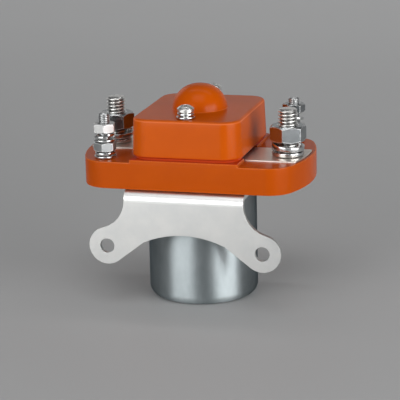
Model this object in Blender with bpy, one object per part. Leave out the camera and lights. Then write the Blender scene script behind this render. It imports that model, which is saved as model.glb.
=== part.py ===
"""High voltage dc contactor: a solenoid in a drawn steel can under a moulded base with four studs.

Metres, +Z up. The origin is the centre of the can's closed bottom, +X runs along the long side of
the base and -Y points at the upright plate of the mounting bracket.
"""

from math import acos, asin, atan2, cos, degrees, hypot, pi, radians, sin, sqrt, tan

import bmesh
import bpy
from mathutils import Matrix, Vector

# Clearances
seat_gap = 0.0003
slide_gap = 0.0003
thread_gap = 0.0003
screw_hole_gap = 0.0005
rod_hole_gap = 0.0010
pocket_gap = 0.00045
flush_step = 0.00003

# Can
can_radius = 0.02234
can_height = 0.0463
can_wall = 0.0015
can_corner = 0.0036

# Contacts
tip_distance = 0.0240
fixed_tip_radius = 0.0040
moving_tip_radius = 0.0036
tip_thickness = 0.0015
tip_edge = 0.00025
contact_gap = 0.0022
over_travel = 0.0010
bridge_end = 0.0044
bridge_width = 0.0096
bridge_thickness = 0.0025
bridge_corner = 0.0032

# Cover
cover_room = 0.0031
cover_side_inset = 0.00115
cover_height = 0.01515
cover_corner = 0.0073
cover_draft = 0.0006
cover_edge = 0.0010
cover_wall = 0.0025
dome_radius = 0.0114
dome_sink = 0.0015
dome_fillet = 0.0008
dome_wall = 0.0020
pillar_radius = 0.0036

# Base moulding
base_side_overhang = 0.00506
terminal_land = 0.0248
base_end_radius = 0.0544
base_corner = 0.0108
base_thickness = 0.0111
base_edge = 0.0006
pad_margin = 0.0003
pad_rise = 0.0011
pad_edge = 0.0003
groove_inset = 0.0010
groove_height = 0.0011

# Mounting bracket
sheet = 0.0020
bend_inner_radius = 0.0018
plate_half_width = 0.0245
plate_proud = 0.0013
ear_spacing = 0.0640
ear_drop = 0.02306
ear_radius = 0.0076
ear_hole_diameter = 0.0060
arch_rise = 0.00576
arch_radius = 0.0400
arch_half_width = 0.0168
leg_back_radius = 0.0280
leg_back_margin = 0.0042

# Cover screws
cover_screw_margin = 0.00545
cover_screw_diameter = 0.0035
cover_screw_head_diameter = 0.0068
cover_screw_head_height = 0.0027
cover_screw_side_height = 0.0007
cover_screw_edge = 0.0003
cover_washer_diameter = 0.0075
cover_washer_thickness = 0.0007
cover_spring_thickness = 0.0009
cover_spring_rise = 0.0003
cover_spring_ease = 1
recess_width = 0.0010
recess_length = 0.0038
recess_depth = 0.0012

# Washers and nuts of every size
washer_edge = 0.00015
split_angle = 8
nut_face_share = 0.95
nut_chamfer_angle = 30

# Main terminals
main_end_margin = 0.0091
main_y = 0.0058
main_stud_diameter = 0.0078
main_stud_height = 0.0189
main_stud_chamfer = 0.0009
main_head_diameter = 0.0120
main_head_flats = 0.0100
main_head_height = 0.0040
bar_width = 0.0215
bar_thickness = 0.0020
bar_end_inset = 0.0013
bar_tip_margin = 0.0055
bar_corner = 0.0012
bar_channel_depth = 0.0018
main_washer_diameter = 0.0128
main_washer_thickness = 0.0015
main_spring_diameter = 0.0131
main_spring_thickness = 0.0020
main_spring_rise = 0.0015
main_spring_ease = 6
main_nut_flats = 0.0130
main_nut_height = 0.0065

# Coil terminals
coil_end_margin = 0.0126
coil_side_margin = 0.0070
coil_stud_diameter = 0.0048
coil_stud_height = 0.0185
coil_stud_chamfer = 0.0006
coil_head_flats = 0.0080
coil_head_height = 0.0035
coil_washer_diameter = 0.0087
coil_washer_thickness = 0.0008
coil_spring_diameter = 0.0081
coil_spring_thickness = 0.0012
coil_flat_spring_rise = 0.0001
coil_spring_rises = (0.0010, 0.0026)
coil_spring_ease = 1.2
coil_nut_flats = 0.0082
coil_nut_height = 0.0037

# Push rod, springs and retainer
rod_radius = 0.0020
rod_collar_radius = 0.0034
rod_collar_thickness = 0.0012
rod_thread_depth = 0.0090
rod_end_length = 0.0004
rod_edge = 0.0005
retainer_radius = 0.0062
retainer_thickness = 0.0012
retainer_hub_radius = 0.0034
retainer_hub_height = 0.0016
contact_spring_length = 0.0054
contact_spring_radius = 0.0044
contact_spring_wire = 0.0009
contact_spring_turns = 3.5
return_spring_radius = 0.0029
return_spring_wire = 0.0008
return_spring_turns = 9
bush_flange_radius = 0.0052
bush_flange_thickness = 0.0010
bush_radius = 0.0036
bush_end_gap = 0.0013

# Solenoid
plunger_radius = 0.0070
plunger_edge = 0.0005
core_height = 0.0132
core_bore_depth = 0.0030
plunger_bore_depth = 0.0100
shim_thickness = 0.0006
sleeve_wall = 0.0005
yoke_thickness = 0.0030
yoke_hole_gap = 0.0004
bobbin_wall = 0.0010
bobbin_flange = 0.0013
bobbin_foot = 0.0012
winding_gap = 0.0004
lead_radius = 0.0007
lead_wall_gap = 0.00044
lead_tail = 0.0093
lead_bend_radius = 0.00175

# Plan positions that follow from the sizes above
tip_x = tip_distance / 2
bridge_half_length = tip_x + bridge_end
cover_length = 2 * (bridge_half_length + cover_room + cover_wall)
base_length = cover_length + 2 * terminal_land
base_width = 2 * (can_radius + base_side_overhang)
cover_width = base_width - 2 * cover_side_inset
cover_screw_y = cover_width / 2 - cover_screw_margin
pad_half_length = cover_length / 2 + pad_margin
chamber_half_length = cover_length / 2 - cover_wall
chamber_half_width = cover_screw_y - pillar_radius - seat_gap
plate_face_y = -(base_width / 2 + plate_proud)
leg_back_y = cover_screw_y + leg_back_margin
main_x = base_length / 2 - main_end_margin
bar_inner_x = tip_x - bar_tip_margin
coil_x = base_length / 2 - coil_end_margin
coil_y = base_width / 2 - coil_side_margin
lead_circle = can_radius - can_wall - lead_wall_gap - lead_radius
winding_radius = lead_circle - lead_radius - winding_gap

# Heights that follow, from the can's bottom upwards
can_floor = can_wall + seat_gap
core_top = can_floor + core_height
shim_bottom = core_top + seat_gap
stroke = contact_gap - seat_gap + over_travel
plunger_bottom = shim_bottom + shim_thickness + seat_gap + stroke
yoke_bottom = can_height - yoke_thickness
bobbin_top = yoke_bottom - seat_gap
leg_bottom = can_height + seat_gap
plunger_top = leg_bottom - seat_gap
leg_top = leg_bottom + sheet
ear_hole_z = leg_top - ear_drop
arch_top_z = ear_hole_z + arch_rise
base_bottom = leg_top + seat_gap
land_top = base_bottom + base_thickness
pad_top = land_top + pad_rise
cover_bottom = pad_top + groove_height
cover_top = cover_bottom + cover_height
cover_ceiling = cover_top - cover_wall
dome_centre_z = cover_top - dome_sink
channel_floor = land_top - bar_channel_depth
bar_bottom = channel_floor + seat_gap
bar_top = bar_bottom + bar_thickness
fixed_tip_bottom = bar_top + seat_gap
moving_tip_bottom = fixed_tip_bottom + tip_thickness + contact_gap
bridge_bottom = moving_tip_bottom + tip_thickness + seat_gap
bridge_top = bridge_bottom + bridge_thickness
contact_spring_bottom = bridge_top + seat_gap
retainer_bottom = contact_spring_bottom + contact_spring_length + seat_gap
rod_top = retainer_bottom + retainer_thickness + retainer_hub_height + rod_end_length
main_stud_top_z = bar_top + main_stud_height
coil_stud_top_z = land_top + coil_stud_height
lead_start_z = yoke_bottom - lead_tail

# Colours in linear light, roughness and metallic value of each material
finishes = {
    "moulding_orange": ((0.57, 0.108, 0.012), 0.34, 0.0),
    "zinc_plate": ((0.62, 0.63, 0.62), 0.42, 1.0),
    "blue_zinc": ((0.45, 0.50, 0.53), 0.30, 1.0),
    "bright_zinc": ((0.72, 0.72, 0.70), 0.25, 1.0),
    "tinned_copper": ((0.75, 0.73, 0.70), 0.30, 1.0),
    "copper": ((0.80, 0.36, 0.20), 0.30, 1.0),
    "contact_silver": ((0.86, 0.85, 0.82), 0.28, 1.0),
    "soft_iron": ((0.40, 0.40, 0.41), 0.40, 1.0),
    "brass": ((0.74, 0.54, 0.24), 0.30, 1.0),
    "spring_steel": ((0.50, 0.50, 0.50), 0.30, 1.0),
    "stainless": ((0.62, 0.61, 0.59), 0.28, 1.0),
    "white_nylon": ((0.80, 0.78, 0.72), 0.50, 0.0),
    "black_insulation": ((0.03, 0.03, 0.03), 0.50, 0.0),
    "enamelled_wire": ((0.55, 0.20, 0.07), 0.35, 0.6),
}


def clear_scene():
    for obj in list(bpy.data.objects):
        bpy.data.objects.remove(obj, do_unlink=True)


def make_materials():
    for name, (colour, roughness, metallic) in finishes.items():
        material = bpy.data.materials.new(name)
        material.use_nodes = True
        shader = material.node_tree.nodes["Principled BSDF"]
        shader.inputs["Base Color"].default_value = (*colour, 1.0)
        shader.inputs["Roughness"].default_value = roughness
        shader.inputs["Metallic"].default_value = metallic
        material.diffuse_color = (*colour, 1.0)


# Shape helpers


def object_from(name, bm):
    """A scene object from a bmesh whose normals are made to face out."""
    bmesh.ops.recalc_face_normals(bm, faces=bm.faces)
    mesh = bpy.data.meshes.new(name)
    bm.to_mesh(mesh)
    bm.free()
    obj = bpy.data.objects.new(name, mesh)
    bpy.context.scene.collection.objects.link(obj)
    return obj


def arc(centre, radius, start, end, steps):
    """Points along an arc, angles in degrees, both ends included."""
    angles = [radians(start + (end - start) * i / steps) for i in range(steps + 1)]
    return [(centre[0] + radius * cos(a), centre[1] + radius * sin(a)) for a in angles]


def rounded_rectangle(half_x, half_y, radius, steps):
    points = []
    for sx, sy, start in ((1, 1, 0), (-1, 1, 90), (-1, -1, 180), (1, -1, 270)):
        centre = (sx * (half_x - radius), sy * (half_y - radius))
        points += arc(centre, radius, start, start + 90, steps)
    return points


def prism(name, outline, low, high, upright=False):
    """An outline extruded along Z, or along Y when it is drawn upright in X and Z."""
    bm = bmesh.new()

    def place(u, v, w):
        return (u, w, v) if upright else (u, v, w)

    face = bm.faces.new([bm.verts.new(place(u, v, low)) for u, v in outline])
    grown = bmesh.ops.extrude_face_region(bm, geom=[face])["geom"]
    moved = [item for item in grown if isinstance(item, bmesh.types.BMVert)]
    bmesh.ops.translate(bm, verts=moved, vec=place(0, 0, high - low))
    return object_from(name, bm)


def box(name, low, high):
    outline = [(low[0], low[1]), (high[0], low[1]), (high[0], high[1]), (low[0], high[1])]
    return prism(name, outline, low[2], high[2])


def lathe(name, profile, segments=20):
    """A profile of (radius, height) points turned once round Z; ends off the axis are joined up."""
    bm = bmesh.new()
    verts = [bm.verts.new((r, 0, z)) for r, z in profile]
    edges = [bm.edges.new(pair) for pair in zip(verts, verts[1:])]
    if profile[0][0] > 0:
        edges.append(bm.edges.new((verts[-1], verts[0])))
    bmesh.ops.spin(
        bm, geom=verts + edges, cent=(0, 0, 0), axis=(0, 0, 1), angle=2 * pi, steps=segments
    )
    bmesh.ops.remove_doubles(bm, verts=bm.verts, dist=1e-7)
    return object_from(name, bm)


def cylinder(name, radius, low, high, at=(0, 0), segments=20):
    obj = lathe(name, [(0, low), (radius, low), (radius, high), (0, high)], segments)
    obj.data.transform(Matrix.Translation((*at, 0)))
    return obj


def ring(name, inner, outer, low, high, bevel=0.0, segments=20):
    profile = [
        (inner, low),
        (outer - bevel, low),
        (outer, low + bevel),
        (outer, high - bevel),
        (outer - bevel, high),
        (inner, high),
    ]
    if bevel == 0:
        profile = [(inner, low), (outer, low), (outer, high), (inner, high)]
    return lathe(name, profile, segments)


def skin(name, loops):
    """A skin through rings of points, closed at both ends."""
    bm = bmesh.new()
    rows = [[bm.verts.new(point) for point in loop] for loop in loops]
    bm.faces.new(rows[0])
    bm.faces.new(rows[-1])
    for lower, upper in zip(rows, rows[1:]):
        for i in range(len(lower)):
            j = (i + 1) % len(lower)
            bm.faces.new((lower[i], lower[j], upper[j], upper[i]))
    return object_from(name, bm)


def loft(name, rings):
    """A skin through flat outlines at rising heights."""
    return skin(name, [[(x, y, z) for x, y in outline] for outline, z in rings])


def helix(name, section, mean_radius, turns, rise, steps_per_turn, ease=1.0):
    """A closed section of (out, up) points swept round Z while it climbs.

    Negative turns go clockwise. The climb is the share of the way to the power of the ease.
    """
    steps = round(abs(turns) * steps_per_turn)
    loops = []
    for i in range(steps + 1):
        share = i / steps
        angle = 2 * pi * turns * share
        climb = rise * share**ease
        loops.append([
            ((mean_radius + out) * cos(angle), (mean_radius + out) * sin(angle), up + climb)
            for out, up in section
        ])
    return skin(name, loops)


def combine(obj, others, operation):
    """One Boolean with each of the others, which are used up by it."""
    for other in others:
        modifier = obj.modifiers.new(operation.lower(), "BOOLEAN")
        modifier.operation = operation
        modifier.object = other
        bake(obj)
        bpy.data.objects.remove(other, do_unlink=True)
    return obj


def cut(obj, *cutters):
    return combine(obj, cutters, "DIFFERENCE")


def join(obj, *others):
    return combine(obj, others, "UNION")


def keep_common(obj, *others):
    return combine(obj, others, "INTERSECT")


def bevel_rims(obj, width, segments=2, angle=50):
    modifier = obj.modifiers.new("rims", "BEVEL")
    modifier.width = width
    modifier.segments = segments
    modifier.limit_method = "ANGLE"
    modifier.angle_limit = radians(angle)
    bake(obj)
    return obj


def bake(obj):
    """The object's modifiers made part of its mesh."""
    graph = bpy.context.evaluated_depsgraph_get()
    graph.update()
    mesh = bpy.data.meshes.new_from_object(obj.evaluated_get(graph))
    mesh.name = obj.name
    obj.modifiers.clear()
    obj.data = mesh


def place_of(parent):
    """Where a joint's empty stands in the world; its own parents are never turned."""
    place = Vector()
    while parent:
        place += parent.location
        parent = parent.parent
    return place


def finish(obj, material, at=(0, 0, 0), turn=0.0, parent=None, sharp=35):
    """Shading, material and place of a finished piece; turn is in degrees about Z."""
    obj.data.shade_smooth()
    obj.data.set_sharp_from_angle(angle=radians(sharp))
    obj.data.materials.clear()
    obj.data.materials.append(bpy.data.materials[material])
    obj.parent = parent
    obj.location = Vector(at) - place_of(parent)
    obj.rotation_euler.z = radians(turn)
    return obj


def copy_of(obj, name):
    twin = bpy.data.objects.new(name, obj.data)
    bpy.context.scene.collection.objects.link(twin)
    return twin


def joint_empty(name, at, parent=None):
    empty = bpy.data.objects.new(name, None)
    bpy.context.scene.collection.objects.link(empty)
    empty.parent = parent
    empty.location = Vector(at) - place_of(parent)
    return empty


# Outlines


def bowed_end(inset, low_y, high_y, corner, end_steps, corner_steps):
    """Points up a right end that keeps this distance inside the base's own, its corners rounded."""
    centre_x = base_length / 2 - base_end_radius
    radius = base_end_radius - inset
    reach = radius - corner
    low_swing = degrees(asin((low_y + corner) / reach))
    high_swing = degrees(asin((high_y - corner) / reach))
    low_corner = (centre_x + reach * cos(radians(low_swing)), low_y + corner)
    high_corner = (centre_x + reach * cos(radians(high_swing)), high_y - corner)
    end = arc((centre_x, 0), radius, low_swing, high_swing, end_steps)
    return [
        *arc(low_corner, corner, -90, low_swing, corner_steps),
        *end[1:-1],
        *arc(high_corner, corner, high_swing, 90, corner_steps),
    ]


def base_outline():
    """Straight front and back, slightly bowed ends, and a fillet at each of the four corners."""
    end = bowed_end(0, -base_width / 2, base_width / 2, base_corner, 8, 6)
    return end + [(-x, -y) for x, y in end]


def bar_outline(grow, inner_x):
    """The right terminal bar in plan, its outer end bowed like the base's."""
    low_y = -main_y - bar_width / 2 - grow
    high_y = -main_y + bar_width / 2 + grow
    end = bowed_end(bar_end_inset - grow, low_y, high_y, bar_corner + grow, 5, 3)
    return [*end, (inner_x, high_y), (inner_x, low_y)]


def plate_outline():
    """The front plate seen from the front: leg at the top, two ears, an arch between them."""
    bend_z = leg_bottom - bend_inner_radius
    ear_x = ear_spacing / 2
    a = plate_half_width - ear_x
    b = bend_z - ear_hole_z
    throat = (a**2 + b**2 - ear_radius**2) / (2 * (ear_radius - a))
    throat_centre = (plate_half_width + throat, bend_z)
    throat_end = degrees(atan2(ear_hole_z - bend_z, ear_x - throat_centre[0])) % 360
    arch_centre_z = arch_top_z - arch_radius
    kink_z = arch_centre_z + sqrt(arch_radius**2 - arch_half_width**2)
    to_kink = (arch_half_width - ear_x, kink_z - ear_hole_z)
    tangent = degrees(atan2(to_kink[1], to_kink[0])) + degrees(
        acos(ear_radius / hypot(*to_kink))
    )
    half = [(plate_half_width, leg_top + sheet)]
    half += arc(throat_centre, throat, 180, throat_end, 6)
    half += arc((ear_x, ear_hole_z), ear_radius, throat_end - 180, tangent - 360, 14)[1:]
    sweep = degrees(asin(arch_half_width / arch_radius))
    half += arc((0, arch_centre_z), arch_radius, 90 - sweep, 90, 5)[:-1]
    arch_middle = [(0, arch_top_z)]
    return half + arch_middle + [(-x, z) for x, z in reversed(half)]


# Can and bracket


def make_can():
    inner_corner = can_corner - can_wall
    corner_centre = (can_radius - can_corner, can_corner)
    outer = arc(corner_centre, can_corner, -90, 0, 4)
    inner = arc(corner_centre, inner_corner, 0, -90, 2)
    profile = [(0, 0), *outer, (can_radius, can_height), (can_radius - can_wall, can_height)]
    profile += [*inner, (0, can_wall)]
    finish(lathe("can", profile, 40), "blue_zinc", sharp=40)


def make_bracket():
    bend_radius = bend_inner_radius + sheet
    bend = (plate_face_y + bend_radius, leg_top - bend_radius)
    below = ear_hole_z - 2 * ear_radius
    behind = 2 * leg_back_y
    outer = arc(bend, bend_radius, 180, 90, 6)
    inner = arc(bend, bend_inner_radius, 90, 180, 3)
    section = [(plate_face_y, below), *outer, (behind, leg_top), (behind, leg_bottom)]
    section += [*inner, (plate_face_y + sheet, below)]
    width = ear_spacing / 2 + 2 * ear_radius
    bracket = prism("mounting_bracket", section, -width, width)
    # The section was drawn in (Y, Z) and extruded along Z: turn its axes round to Y, Z, X
    bracket.data.transform(Matrix(((0, 0, 1, 0), (1, 0, 0, 0), (0, 1, 0, 0), (0, 0, 0, 1))))
    front = prism("front", plate_outline(), -2 * base_width, 2 * base_width, upright=True)
    back_centre = (0, leg_back_y - leg_back_radius)
    plan = arc(back_centre, leg_back_radius, 0, 180, 18)
    plan += [(-width, back_centre[1]), (-width, -base_width), (width, -base_width)]
    plan += [(width, back_centre[1])]
    keep_common(bracket, front, prism("plan", plan, 0, 2 * leg_top))
    holes = [cylinder("rod_hole", rod_radius + rod_hole_gap, 0, base_bottom)]
    for side in (-1, 1):
        ear_hole = cylinder("ear_hole", ear_hole_diameter / 2, -2 * sheet, 2 * sheet)
        place = Matrix.Translation((side * ear_spacing / 2, plate_face_y, ear_hole_z))
        ear_hole.data.transform(place @ Matrix.Rotation(pi / 2, 4, "X"))
        screw_hole = cylinder("screw_hole", cover_screw_diameter / 2 + thread_gap, yoke_bottom,
                              base_bottom, (0, side * cover_screw_y), 16)
        holes += [ear_hole, screw_hole, lead_passage("lead_hole", side, yoke_bottom, base_bottom)]
    finish(cut(bracket, *holes), "zinc_plate", sharp=40)


# Base


def lead_direction(side):
    """Unit vector in plan from the can's axis towards the coil stud on this side."""
    return Vector((side * coil_x, side * coil_y)).normalized()


def lead_passage(name, side, low, high):
    spot = lead_direction(side) * lead_circle
    return cylinder(name, lead_radius + screw_hole_gap, low, high, tuple(spot), 12)


def lead_channel(side):
    """The groove under the base that carries a lead from the leg to its stud head."""
    half = lead_radius + screw_hole_gap
    start = lead_circle - 2 * half
    end = hypot(coil_x, coil_y)
    low = base_bottom - base_thickness / 2
    channel = box("channel", (start, -half, low), (end, half, base_bottom + 4 * half))
    heading = lead_direction(side)
    channel.data.transform(Matrix.Rotation(atan2(heading.y, heading.x), 4, "Z"))
    return channel


def make_base():
    below = base_bottom - base_thickness
    above = pad_top + 2 * pad_rise + groove_height
    base = bevel_rims(prism("base_moulding", base_outline(), base_bottom, land_top), base_edge)
    pad_half_width = base_width / 2 - flush_step
    pad_outline = rounded_rectangle(pad_half_length, pad_half_width, base_edge, 2)
    pad = prism("pad", pad_outline, (base_bottom + land_top) / 2, pad_top)
    bevel_rims(pad, pad_edge, segments=1)
    plateau_outline = rounded_rectangle(
        cover_length / 2 + cover_draft - groove_inset,
        cover_width / 2 + cover_draft - groove_inset,
        cover_corner + cover_draft - groove_inset,
        5,
    )
    join(base, pad, prism("plateau", plateau_outline, land_top, cover_bottom - seat_gap))
    chamber_outline = rounded_rectangle(
        chamber_half_length, chamber_half_width, cover_corner - cover_wall, 4
    )
    cutters = [
        prism("chamber", chamber_outline, channel_floor, above),
        cylinder("bush_seat", bush_flange_radius + seat_gap,
                 channel_floor - bush_flange_thickness, above),
        cylinder("bush_hole", bush_radius + seat_gap, below, above),
    ]
    for side in (-1, 1):
        channel_outline = [
            (side * x, side * y) for x, y in bar_outline(seat_gap, chamber_half_length / 2)
        ]
        cutters += [
            prism("channel", channel_outline, channel_floor, above),
            cylinder("main_hole", main_stud_diameter / 2 + thread_gap, below, above,
                     (side * main_x, -side * main_y)),
            cylinder("main_recess", main_head_diameter / 2 + pocket_gap, below,
                     base_bottom + main_head_height + 2 * seat_gap, (side * main_x, -side * main_y)),
            cylinder("coil_hole", coil_stud_diameter / 2 + thread_gap, below, above,
                     (side * coil_x, side * coil_y)),
            cylinder("coil_recess", coil_head_flats / sqrt(3) + pocket_gap, below,
                     base_bottom + coil_head_height + 2 * seat_gap, (side * coil_x, side * coil_y)),
            cylinder("screw_hole", cover_screw_diameter / 2 + screw_hole_gap, below, above,
                     (0, side * cover_screw_y), 16),
            lead_channel(side),
        ]
    finish(cut(base, *cutters), "moulding_orange", sharp=32)


# Cover


def cover_ring(inset, z, grow=0.0, steps=5):
    return (
        rounded_rectangle(
            cover_length / 2 + grow - inset,
            cover_width / 2 + grow - inset,
            max(cover_corner - inset, cover_edge),
            steps,
        ),
        z,
    )


def dome_body():
    """A cap of a sphere that flares into the cover's top through a small fillet."""
    flare_z = cover_top - flush_step
    fillet_z = flare_z + dome_fillet
    fillet_r = sqrt((dome_radius + dome_fillet) ** 2 - (fillet_z - dome_centre_z) ** 2)
    meet = degrees(asin((fillet_z - dome_centre_z) / (dome_radius + dome_fillet)))
    cap = arc((0, dome_centre_z), dome_radius, 90, meet, 6)
    flare = arc((fillet_r, fillet_z), dome_fillet, 180 + meet, 270, 2)[1:]
    low = cover_top - cover_wall / 2
    profile = [(0, low), (fillet_r, low), *reversed(flare), *reversed(cap)]
    profile[-1] = (0, dome_centre_z + dome_radius)
    return lathe("dome", profile, 28)


def make_cover():
    rings = [cover_ring(0, cover_bottom, cover_draft)]
    for i in range(4):
        angle = radians(90 * i / 3)
        inset = cover_edge * (1 - cos(angle))
        rings.append(cover_ring(inset, cover_top - cover_edge + cover_edge * sin(angle)))
    cover = join(loft("cover", rings), dome_body())
    cavity = loft(
        "cavity",
        [
            cover_ring(cover_wall, cover_bottom - cover_wall, cover_draft, 3),
            cover_ring(cover_wall, cover_ceiling, 0, 3),
        ],
    )
    pillars = [
        cylinder("pillar", pillar_radius, base_bottom, cover_top, (0, side * cover_screw_y), 16)
        for side in (-1, 1)
    ]
    cut(cavity, *pillars)
    inner_radius = dome_radius - dome_wall
    low = cover_ceiling - cover_wall / 4
    foot = degrees(asin((low - dome_centre_z) / inner_radius))
    inside = arc((0, dome_centre_z), inner_radius, foot, 90, 3)
    inside[-1] = (0, dome_centre_z + inner_radius)
    hollow = lathe("hollow", [(0, low), *inside], 16)
    cut(cover, cavity, hollow)
    for side in (-1, 1):
        spot = (0, side * cover_screw_y)
        hole = cover_screw_diameter / 2 + screw_hole_gap
        cut(cover, cylinder("screw_hole", hole, base_bottom, 2 * cover_top, spot, 16))
    finish(cover, "moulding_orange", sharp=32)


# Fasteners


def spring_washer(name, inner, outer, thickness, rise, ease):
    """One split turn of square wire that climbs clockwise by the rise."""
    half = (outer - inner) / 2
    section = [(-half, 0), (half, 0), (half, thickness), (-half, thickness)]
    return helix(name, section, inner + half, split_angle / 360 - 1, rise, 20, ease)


def hex_nut(name, flats, height, bore):
    """A hexagon with both rims chamfered by a turned lens, and a plain bore."""
    corner = flats / sqrt(3)
    nut = prism(name, arc((0, 0), corner, 0, 300, 5), -height, 2 * height)
    face = nut_face_share * flats / 2
    reach = corner + seat_gap
    drop = (reach - face) * tan(radians(nut_chamfer_angle))
    lens = lathe(
        "lens",
        [
            (0, 0),
            (face, 0),
            (reach, drop),
            (reach, height - drop),
            (face, height),
            (0, height),
        ],
        18,
    )
    keep_common(nut, lens)
    return cut(nut, cylinder("bore", bore, -height, 2 * height, segments=16))


def stud_shank(name, diameter, length, chamfer, head_radius, head_height):
    radius = diameter / 2
    profile = [
        (0, 0),
        (head_radius, 0),
        (head_radius, head_height),
        (radius, head_height),
        (radius, length - chamfer),
        (radius - chamfer, length),
        (0, length),
    ]
    return lathe(name, profile)


def main_terminal(side, name, nut_turn, spring_turn, first):
    """Bar, stud, washers and nut of one main terminal, the meshes shared with the first."""
    at = (side * main_x, -side * main_y)
    head_bottom = base_bottom + seat_gap
    washer_bottom = bar_top + seat_gap
    spring_bottom = washer_bottom + main_washer_thickness + seat_gap
    nut_bottom = spring_bottom + main_spring_thickness + main_spring_rise + seat_gap
    bore = main_stud_diameter / 2 + thread_gap
    if first:
        stud = stud_shank(
            f"main_stud_{name}",
            main_stud_diameter,
            main_stud_top_z - head_bottom,
            main_stud_chamfer,
            main_head_diameter / 2,
            main_head_height,
        )
        half = main_head_flats / 2
        flats = box("flats", (-half, -2 * half, -half), (half, 2 * half, main_stud_top_z))
        pieces = {
            "stud": keep_common(stud, flats),
            "flat_washer": ring(f"main_flat_washer_{name}", bore, main_washer_diameter / 2, 0,
                                main_washer_thickness, washer_edge),
            "spring": spring_washer(f"main_spring_washer_{name}", bore, main_spring_diameter / 2,
                                    main_spring_thickness, main_spring_rise, main_spring_ease),
            "nut": hex_nut(f"main_nut_{name}", main_nut_flats, main_nut_height, bore),
        }
    else:
        pieces = {
            "stud": copy_of(bpy.data.objects["main_stud_right"], f"main_stud_{name}"),
            "flat_washer": copy_of(bpy.data.objects["main_flat_washer_right"], f"main_flat_washer_{name}"),
            "spring": copy_of(bpy.data.objects["main_spring_washer_right"], f"main_spring_washer_{name}"),
            "nut": copy_of(bpy.data.objects["main_nut_right"], f"main_nut_{name}"),
        }
    finish(pieces["stud"], "bright_zinc", (*at, head_bottom))
    finish(pieces["flat_washer"], "bright_zinc", (*at, washer_bottom))
    finish(pieces["spring"], "bright_zinc", (*at, spring_bottom), spring_turn)
    finish(pieces["nut"], "bright_zinc", (*at, nut_bottom), nut_turn, sharp=20)


def terminal_bar(side, name):
    """Drawn round the stud's axis for the right side; the left bar is the same turned half round."""
    outline = [(x - main_x, y + main_y) for x, y in bar_outline(0, bar_inner_x)]
    bar = prism(f"terminal_bar_{name}", outline, 0, bar_thickness)
    hole = main_stud_diameter / 2 + screw_hole_gap
    cut(bar, cylinder("hole", hole, -bar_thickness, 2 * bar_thickness))
    finish(bar, "tinned_copper", (side * main_x, -side * main_y, bar_bottom), 90 - 90 * side)


def coil_terminal(side, name, lower_turn, upper_turn, spring_turn, spring_rise):
    """Stud with two nuts; the wire lug goes between the upper washers and the lower nut."""
    at = (side * coil_x, side * coil_y)
    bore = coil_stud_diameter / 2 + thread_gap
    head_bottom = base_bottom + seat_gap
    stud = stud_shank(
        f"coil_stud_{name}",
        coil_stud_diameter,
        coil_stud_top_z - head_bottom,
        coil_stud_chamfer,
        coil_head_flats / sqrt(3),
        coil_head_height,
    )
    corner = coil_head_flats / sqrt(3)
    hexagon = prism("hexagon", arc((0, 0), corner, 0, 300, 5), -head_bottom, coil_stud_top_z)
    finish(keep_common(stud, hexagon), "bright_zinc", (*at, head_bottom))
    level = land_top + seat_gap

    def washer(label, z):
        piece = ring(f"{label}_{name}", bore, coil_washer_diameter / 2, 0, coil_washer_thickness)
        finish(piece, "bright_zinc", (*at, z))
        return z + coil_washer_thickness + seat_gap

    def spring(label, z, rise):
        piece = spring_washer(f"{label}_{name}", bore, coil_spring_diameter / 2,
                              coil_spring_thickness, rise, coil_spring_ease)
        finish(piece, "bright_zinc", (*at, z), spring_turn)
        return z + coil_spring_thickness + rise + seat_gap

    def nut(label, z, turn):
        piece = hex_nut(f"{label}_{name}", coil_nut_flats, coil_nut_height, bore)
        finish(piece, "bright_zinc", (*at, z), turn, sharp=20)
        return z + coil_nut_height + seat_gap

    level = washer("coil_base_washer", level)
    level = spring("coil_base_spring_washer", level, coil_flat_spring_rise)
    level = nut("coil_lower_nut", level, lower_turn)
    level = washer("coil_flat_washer", level)
    level = spring("coil_spring_washer", level, spring_rise)
    nut("coil_upper_nut", level, upper_turn)


def cover_screw(side, name, recess_turn, spring_turn):
    """Pan head screw with a cross recess, a spring washer and a flat washer under it."""
    at = (0, side * cover_screw_y)
    washer_bottom = cover_top + seat_gap
    spring_bottom = washer_bottom + cover_washer_thickness + seat_gap
    head_bottom = spring_bottom + cover_spring_thickness + cover_spring_rise + seat_gap
    tip_z = leg_bottom + seat_gap
    radius = cover_screw_diameter / 2
    head = cover_screw_head_diameter / 2
    bore = radius + thread_gap
    top = cover_screw_head_height
    # The crown is an arc from the top of the head's side wall up to its middle
    rim = (head - cover_screw_edge, cover_screw_side_height + cover_screw_edge)
    rise = top - rim[1]
    crown = (rim[0] ** 2 + rise**2) / (2 * rise)
    spread = degrees(asin(rim[0] / crown))
    dome = arc((0, top - crown), crown, 90 - spread, 90, 2)
    dome[-1] = (0, top)
    profile = [
        (0, tip_z - head_bottom),
        (radius, tip_z - head_bottom),
        (radius, 0),
        (head - cover_screw_edge, 0),
        (head, cover_screw_edge),
        (head, cover_screw_side_height),
        *dome,
    ]
    screw = lathe(f"cover_screw_{name}", profile, 16)
    half_width, half_length = recess_width / 2, recess_length / 2
    low, high = top - recess_depth, 2 * top
    cut(
        screw,
        box("slot", (-half_length, -half_width, low), (half_length, half_width, high)),
        box("slot", (-half_width, -half_length, low), (half_width, half_length, high)),
    )
    finish(screw, "bright_zinc", (*at, head_bottom), recess_turn)
    spring = spring_washer(f"cover_spring_washer_{name}", bore, head, cover_spring_thickness,
                           cover_spring_rise, cover_spring_ease)
    finish(spring, "bright_zinc", (*at, spring_bottom), spring_turn)
    flat = ring(f"cover_flat_washer_{name}", bore, cover_washer_diameter / 2, 0, cover_washer_thickness)
    finish(flat, "bright_zinc", (*at, washer_bottom))


# Contacts and moving parts


def disc(name, radius, thickness, at, material, parent=None):
    profile = [
        (0, 0),
        (radius - tip_edge, 0),
        (radius, tip_edge),
        (radius, thickness - tip_edge),
        (radius - tip_edge, thickness),
        (0, thickness),
    ]
    finish(lathe(name, profile, 16), material, at, parent=parent)


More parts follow.
